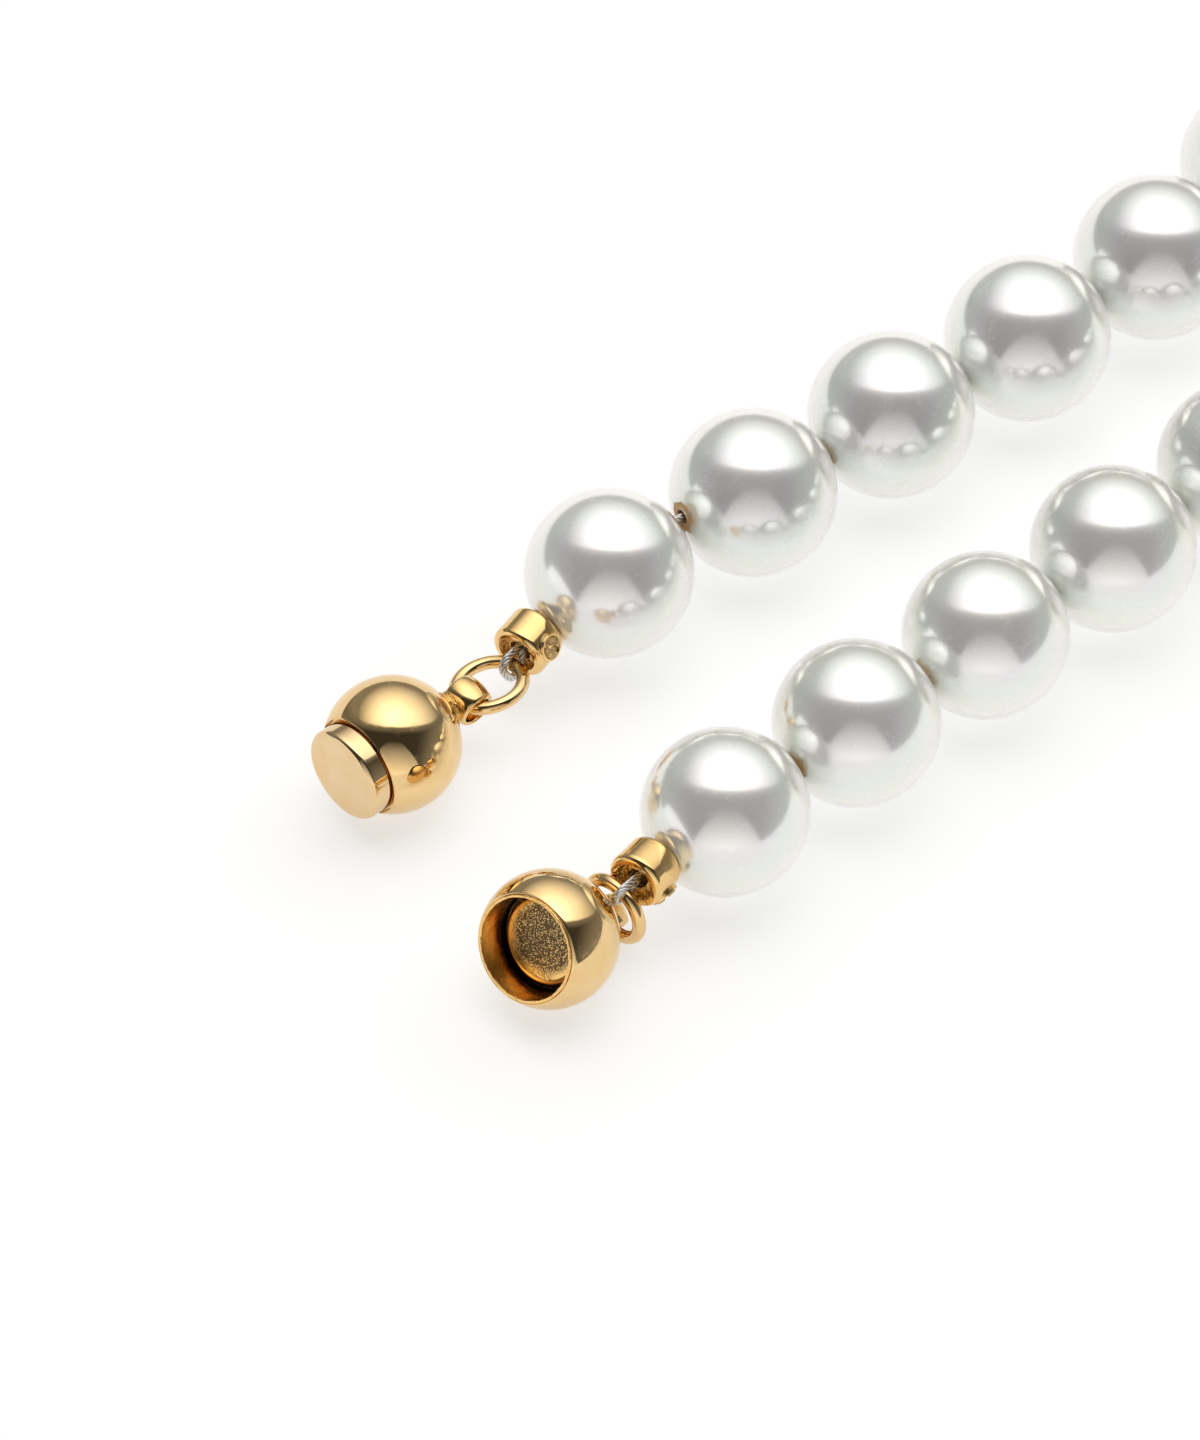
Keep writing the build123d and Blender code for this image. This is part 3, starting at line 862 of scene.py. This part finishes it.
def eye(side, end):
    bead = frame_matrix(end["eye"], end["eye_hole"])
    lip = EYE_HOLE_RADIUS + 0.16
    outline = []
    for step in range(25):
        z = -EYE_HALF_WIDTH + 0.10 + (2 * EYE_HALF_WIDTH - 0.20) * step / 24
        bulge = 1 - (z / EYE_HALF_WIDTH) ** 2
        outline.append((lip + 0.06 + (EYE_RADIUS - lip - 0.06) * bulge**0.75, z))
    outline += [(lip + 0.01, EYE_HALF_WIDTH - 0.02), (lip - 0.05, EYE_HALF_WIDTH)]
    outline.append((EYE_HOLE_RADIUS + 0.06, EYE_HALF_WIDTH - 0.02))
    outline.append((EYE_HOLE_RADIUS + 0.015, EYE_HALF_WIDTH - 0.09))
    for step in range(9):
        outline.append((EYE_HOLE_RADIUS, 0.8 - 1.6 * step / 8))
    outline.append((EYE_HOLE_RADIUS + 0.015, -EYE_HALF_WIDTH + 0.09))
    outline.append((EYE_HOLE_RADIUS + 0.06, -EYE_HALF_WIDTH + 0.02))
    outline += [(lip - 0.05, -EYE_HALF_WIDTH), (lip + 0.01, -EYE_HALF_WIDTH + 0.02)]
    ring = lathe("eye_bead", outline, bead, EYE_GOLD, 128, True,
                 lambda p, a, i: p + jitter(p, 1.6, 0.008, 4.0))
    neck = frame_matrix(end["ball_centre"] - end["ball"] * BALL_RADIUS, -end["ball"])
    tall = end["eye_distance"] - BALL_RADIUS - EYE_HOLE_RADIUS - 0.06
    collar = []
    rows = 34
    for row in range(rows + 1):
        z = -0.12 + (tall + 0.12) * row / rows
        share = max(0.0, z / tall)
        flare = 0.42 * (1 - min(1.0, share / 0.5)) ** 2
        collar.append((NECK_RADIUS * 0.98 + flare, z))
    collar = [(0.0, -0.12)] + collar + [(0.0, tall)]

    def ridged(point, angle, index):
        radius = sqrt(point.x**2 + point.y**2)
        ridges = 0.035 * sin(point.z * 24 + 1.2 * sin(angle * 3)) * (1 if side == "a" else 0.5)
        lumps = 0.06 * noise.noise(point * 3.0) + 0.03 * noise.noise(point * 8.0)
        factor = 1 + (ridges + lumps) / max(radius, 0.3)
        return Vector((point.x * factor, point.y * factor, point.z + 0.02 * noise.noise(point * 4.0)))

    solder = lathe("eye_collar", collar, neck, SOLDER, 112, False, ridged)
    obj = join(f"clasp_eye_{side}_bead", [ring, solder])
    set_piece(obj, end["clasp"], f"clasp_eye_{side}")


def ball_outline(mouth_radius, bore_radius, floor, flare):
    """Outer sphere from the back to the mouth, then down the bore."""
    top = sqrt(BALL_RADIUS**2 - mouth_radius**2)
    first = acos(top / BALL_RADIUS)
    outline = [(0.0, -BALL_RADIUS - flare * 0.4)] if flare else [(0.0, -BALL_RADIUS)]
    rows = 96
    for row in range(1, rows + 1):
        angle = pi - (pi - first) * row / rows
        r, z = BALL_RADIUS * sin(angle), BALL_RADIUS * cos(angle)
        if flare and z < 0 and r < 2.0:
            z -= flare * max(0.0, 1 - r / 2.0) ** 2
        if row == rows:
            z -= 0.02
        outline.append((r, z))
    outline.append((mouth_radius - 0.03, top - 0.002))
    outline.append((bore_radius + 0.03, top - 0.01))
    outline.append((bore_radius, top - 0.05))
    for row in range(1, 13):
        outline.append((bore_radius, top - 0.05 + (floor - top + 0.05) * row / 12))
    outline.append((0.0, floor))
    return outline


def plug_half(end):
    matrix = frame_matrix(end["ball_centre"], end["ball"])
    outline = ball_outline(PLUG_MOUTH_RADIUS, PLUG_BORE_RADIUS, SOCKET_FLOOR, 0.15)
    shell = lathe("ball_a_polished", outline, matrix, BALL_GOLD, 192, False)
    set_piece(shell, end["clasp"], "ball_shell_a")
    top = sqrt(BALL_RADIUS**2 - PLUG_MOUTH_RADIUS**2)
    tip = top + PLUG_REACH
    foot = top - PLUG_GROOVE
    nose = rounded_profile([
        (0.0, SOCKET_FLOOR + 0.02), (PLUG_BORE_RADIUS - 0.01, SOCKET_FLOOR + 0.02),
        (PLUG_BORE_RADIUS - 0.01, foot), (PLUG_RADIUS, foot), (PLUG_RADIUS, tip), (0.0, tip)],
        [0, 0.05, 0.03, 0.03, 0.34, 0], 12)
    nose = fill_in(nose, 0.22, False)
    plug = lathe("plug_cap_nose", nose, matrix, PLUG_GOLD, 176, False,
                 lambda p, a, i: p + jitter(p, 1.1, 0.006, 6.0))
    set_piece(plug, end["clasp"], "plug_cap")


def socket_half(end):
    matrix = frame_matrix(end["ball_centre"], end["ball"])
    outline = ball_outline(SOCKET_MOUTH_RADIUS, CUP_RADIUS, SOCKET_FLOOR, 0.30)
    shell = lathe("ball_b_polished", outline, matrix, BALL_GOLD, 192, False)
    set_piece(shell, end["clasp"], "ball_shell_b")
    top = sqrt(BALL_RADIUS**2 - SOCKET_MOUTH_RADIUS**2) + CUP_LIP
    floor = SOCKET_FLOOR + CUP_FLOOR
    outline = rounded_profile([
        (CUP_RADIUS - 0.005, SOCKET_FLOOR + 0.01), (CUP_RADIUS - 0.005, top), (CUP_BORE_RADIUS, top),
        (CUP_BORE_RADIUS, floor), (0.0, floor), (0.0, SOCKET_FLOOR + 0.01)], [0, 0.06, 0.04, 0.1, 0, 0], 4)
    outline = fill_in(outline, 0.09, False)

    def battered(point, angle, index):
        near_lip = max(0.0, 1 - (top - point.z) / 0.35)
        dents = jitter(point, 1.5, 0.03, 7.0) + jitter(point, 5.0, 0.016, 1.0)
        inside = point.z > floor + 0.1 and sqrt(point.x**2 + point.y**2) < CUP_RADIUS - 0.02
        return point + dents * (near_lip + (0.5 if inside else 0.0))

    cup = lathe("socket_cup_lining", outline, matrix, CUP_GOLD, 224, False, battered)
    # painted shade: faces of the cup below the magnet face take the near-black gold
    cup.data.materials.append(GROOVE_SHADE)
    inverse = matrix.inverted()
    for polygon in cup.data.polygons:
        local = inverse @ (Vector(polygon.center) / MM)
        if local.z < MAGNET_FACE - 0.12 and sqrt(local.x**2 + local.y**2) < CUP_RADIUS - 0.05:
            polygon.material_index = 1
    set_piece(cup, end["clasp"], "socket_cup")
    disc = rounded_profile([(0.0, floor + 0.01), (MAGNET_RADIUS, floor + 0.01),
                            (MAGNET_RADIUS, MAGNET_FACE),
                            (0.0, MAGNET_FACE)], [0, 0.03, 0.42, 0], 14)
    disc = fill_in(disc, 0.06, False)

    def gritty(point, angle, index):
        radius = sqrt(point.x**2 + point.y**2)
        if radius > MAGNET_RADIUS - 0.42 or point.z < MAGNET_FACE - 0.1:
            return point
        return point + Vector((0, 0, 0.012 * noise.noise(point * 9.0)))

    magnet = lathe("socket_magnet_disc", disc, matrix, MAGNET, 224, False, gritty)
    set_piece(magnet, end["clasp"], "socket_magnet")


for side, end in ENDS.items():
    crimp(side, end)
    cable_loop(side, end)
    jump_ring(side, end)
    eye(side, end)
plug_half(ENDS["a"])
socket_half(ENDS["b"])
frame["nodes"]["plug_magnet"].data.materials.clear()
frame["nodes"]["plug_magnet"].data.materials.append(MAGNET)


# --- table, lights and camera -------------------------------------------------------------
def table_material():
    m = Nodes("white_table")
    m.link(m.mix(m.noise(0.02, 2.0), (0.50, 0.50, 0.50), (0.52, 0.52, 0.52)), m.shader.inputs["Base Color"])
    m.link(m.ramp(m.noise(0.5, 2.0), [(0.3, 0.75), (0.7, 0.85)]), m.shader.inputs["Roughness"])
    m.set(Specular_IOR_Level=0.1, Emission_Color=(1.0, 1.0, 1.0, 1.0), Emission_Strength=0.60)
    return m.material


bpy.ops.mesh.primitive_plane_add(size=6.0, location=(0, 0, -0.00002))
table = bpy.context.object
table.name = "table"
table.data.materials.append(table_material())

AIM = (SHIFT + Vector((0.0, 0.0, 5.0))) * MM
HEADING = radians(38.0)
LOOK = Vector((sin(HEADING), cos(HEADING), 0.0))
RIGHT = Vector((cos(HEADING), -sin(HEADING), 0.0))
UP = Vector((0.0, 0.0, 1.0))


class Sky:
    """Studio as a map of directions: u right, v away from the camera, 0 overhead, 1 at the horizon."""

    def __init__(self):
        self.world = bpy.data.worlds.new("studio")
        self.world.use_nodes = True
        self.tree = self.world.node_tree
        coordinates = self.tree.nodes.new("ShaderNodeTexCoord").outputs["Generated"]
        x, y, z = (self.dot(coordinates, axis) for axis in (RIGHT, LOOK, UP))
        level = self.math("MAXIMUM", self.length(x, y), 1e-4)
        zenith = self.math("DIVIDE", self.math("ARCCOSINE", z), pi / 2)
        self.u = self.math("DIVIDE", self.math("MULTIPLY", zenith, x), level)
        self.v = self.math("DIVIDE", self.math("MULTIPLY", zenith, y), level)

    def dot(self, vector, axis):
        node = self.tree.nodes.new("ShaderNodeVectorMath")
        node.operation = "DOT_PRODUCT"
        self.tree.links.new(vector, node.inputs[0])
        node.inputs[1].default_value = tuple(axis)
        return node.outputs["Value"]

    def math(self, operation, a, b=0.0):
        node = self.tree.nodes.new("ShaderNodeMath")
        node.operation = operation
        for socket, value in zip(node.inputs, (a, b)):
            if isinstance(value, (int, float)):
                socket.default_value = value
            else:
                self.tree.links.new(value, socket)
        return node.outputs[0]

    def fade(self, value, start, end, low=1.0, high=0.0, kind="SMOOTHSTEP"):
        """Low before the start and high past the end."""
        node = self.tree.nodes.new("ShaderNodeMapRange")
        node.interpolation_type = kind
        for socket, number in zip(node.inputs[1:5], (start, end, low, high)):
            socket.default_value = number
        self.tree.links.new(value, node.inputs[0])
        return node.outputs[0]

    def length(self, a, b):
        squares = self.math("ADD", self.math("MULTIPLY", a, a), self.math("MULTIPLY", b, b))
        return self.math("POWER", squares, 0.5)

    def distance(self, u0, v0, wide, deep):
        """How far a direction is from an ellipse's middle, 1 on its edge."""
        across = self.math("DIVIDE", self.math("SUBTRACT", self.u, u0), wide)
        along = self.math("DIVIDE", self.math("SUBTRACT", self.v, v0), deep)
        return self.length(across, along)

    def finish(self, brightness):
        background = self.tree.nodes["Background"]
        self.tree.links.new(brightness, background.inputs["Strength"])
        background.inputs["Color"].default_value = (1.0, 0.99, 0.975, 1.0)
        bpy.context.scene.world = self.world


sky = Sky()
# big diffuser overhead, lit brightest near the zenith and darker towards the back
inside = sky.fade(sky.distance(0.05, 0.50, 0.72, 0.60), 0.95, 1.05)
leftward = sky.math("MULTIPLY", sky.math("MINIMUM", sky.u, 0.0), 0.5)
spread_u = sky.math("MULTIPLY", sky.math("ADD", sky.u, leftward), 0.9)
spread_v = sky.math("SUBTRACT", sky.v, 0.10)
spread = sky.length(spread_u, spread_v)
panel = sky.math("MULTIPLY", inside, sky.fade(spread, 0.08, 0.78, 2.5, 0.30, "LINEAR"))
halo = sky.fade(sky.distance(0.05, 0.50, 0.72, 0.60), 1.0, 1.30, 0.24, 0.0)
# the dim room, a little lighter at its sides
room = sky.fade(sky.math("ABSOLUTE", sky.u), 0.45, 0.95, 0.05, 0.27)
# bright card in front, below the camera
aside = sky.math("ABSOLUTE", sky.math("SUBTRACT", sky.u, 0.05))
narrow = sky.math("MAXIMUM", sky.math("SUBTRACT", aside, 0.12), 0.0)
slope = sky.math("ADD", sky.v, sky.math("MULTIPLY", narrow, 0.7))
front_glow = sky.fade(sky.v, -0.95, -0.36, 1.25, 0.05, "LINEAR")
front = sky.math("MULTIPLY", sky.fade(slope, -0.38, -0.35), front_glow)
# bright card at the left
lean = sky.math("ADD", sky.u, sky.math("MULTIPLY", sky.math("ADD", sky.v, 0.4), 0.3))
card = sky.math("MULTIPLY", sky.fade(lean, -0.78, -0.73), sky.fade(sky.v, 0.0, 0.12))
card = sky.math("MULTIPLY", card, 1.3)
light = panel
for part in (halo, front, card):
    light = sky.math("MAXIMUM", light, part)
sky.finish(sky.math("MAXIMUM", light, room))

CAMERA_ELEVATION = radians(52.1)
CAMERA_DISTANCE = 0.55
CAMERA_LENS = 238.75
camera_data = bpy.data.cameras.new("camera")
camera_data.sensor_width = 36.0
camera_data.lens = CAMERA_LENS
camera_data.clip_start = 0.05
camera_data.clip_end = 20.0
camera = bpy.data.objects.new("camera", camera_data)
bpy.context.scene.collection.objects.link(camera)
forward = LOOK * cos(CAMERA_ELEVATION) - UP * sin(CAMERA_ELEVATION)
camera.location = AIM - forward * CAMERA_DISTANCE
camera.rotation_euler = forward.to_track_quat("-Z", "Y").to_euler()
bpy.context.scene.camera = camera
bpy.context.scene.view_settings.view_transform = "Standard"
